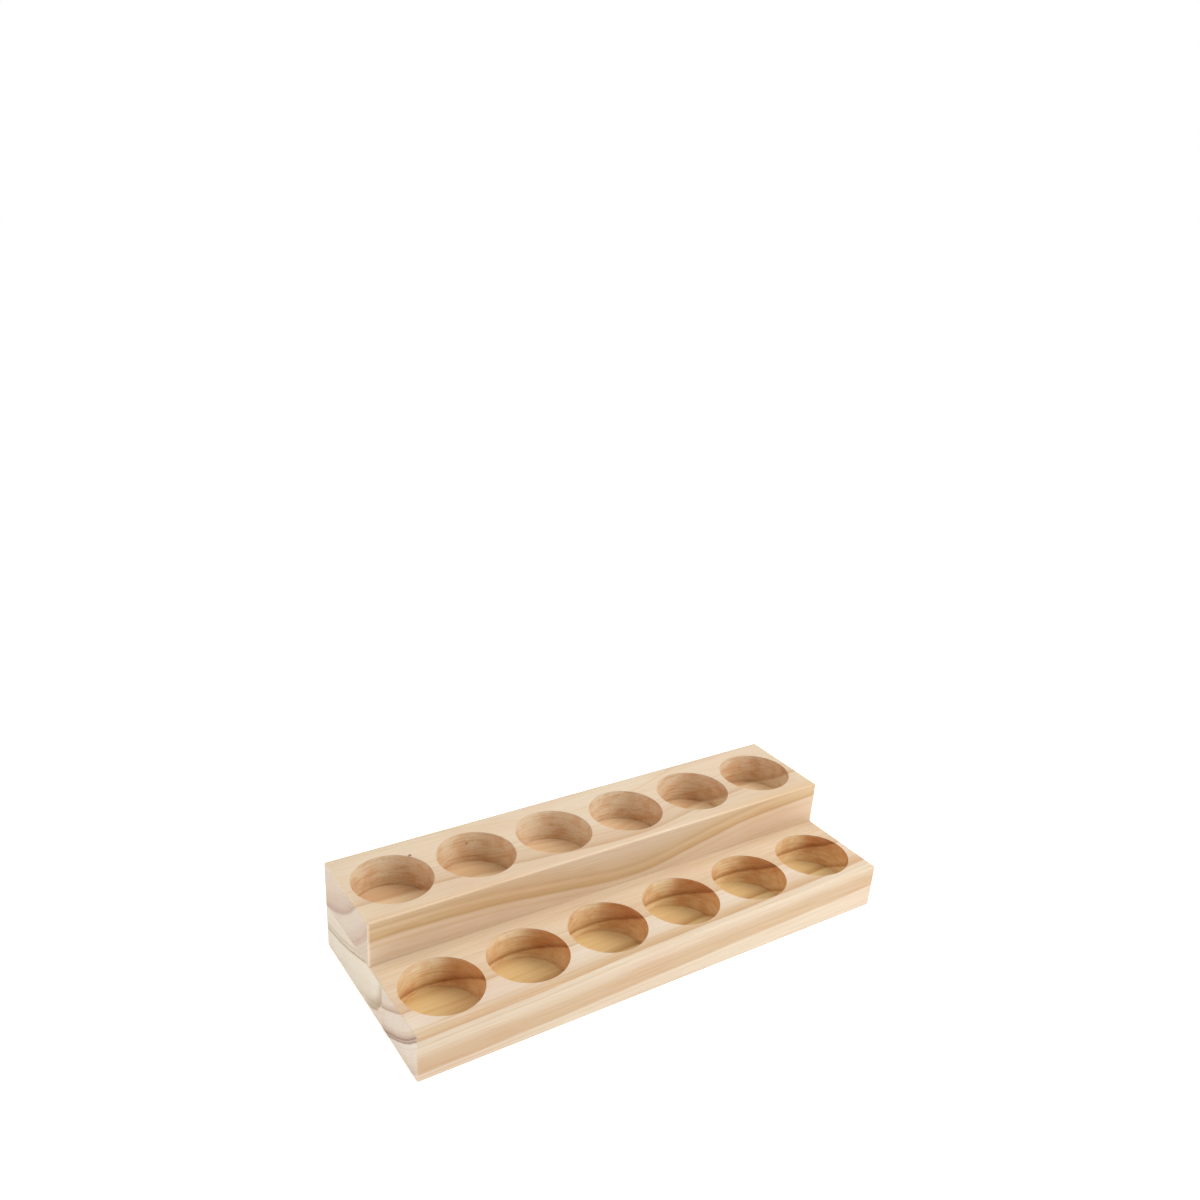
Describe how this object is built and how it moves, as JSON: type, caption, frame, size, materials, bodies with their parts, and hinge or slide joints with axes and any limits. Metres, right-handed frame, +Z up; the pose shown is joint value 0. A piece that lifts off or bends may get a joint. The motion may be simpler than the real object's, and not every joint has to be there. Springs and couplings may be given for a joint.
{
  "type": "egg holder tray",
  "caption": "Stepped two-tier wooden tray with round flat-bottomed pockets in each tier that hold eggs upright on a shelf or worktop.",
  "frame": {"origin": "middle of the underside, on the surface that the tray stands on", "axes": "+X along the rows of pockets, the low front tier faces -Y and the tall rear tier is at +Y, +Z up"},
  "size_m": [0.306, 0.121, 0.056],
  "materials": {
    "pine_front_stave": "bare sanded pine, satin",
    "pine_rear_stave": "bare sanded pine, satin",
    "pine_upper_block": "bare sanded pine, satin",
    "beech_dowel": "bare fluted beech"
  },
  "bodies": {
    "root": {"lower_front_stave": "pine_front_stave", "lower_rear_stave": "pine_rear_stave", "upper_tier_block": "pine_upper_block", "tier_dowel_1": "beech_dowel", "tier_dowel_2": "beech_dowel", "tier_dowel_3": "beech_dowel", "tier_dowel_4": "beech_dowel"}
  },
  "joints": []
}
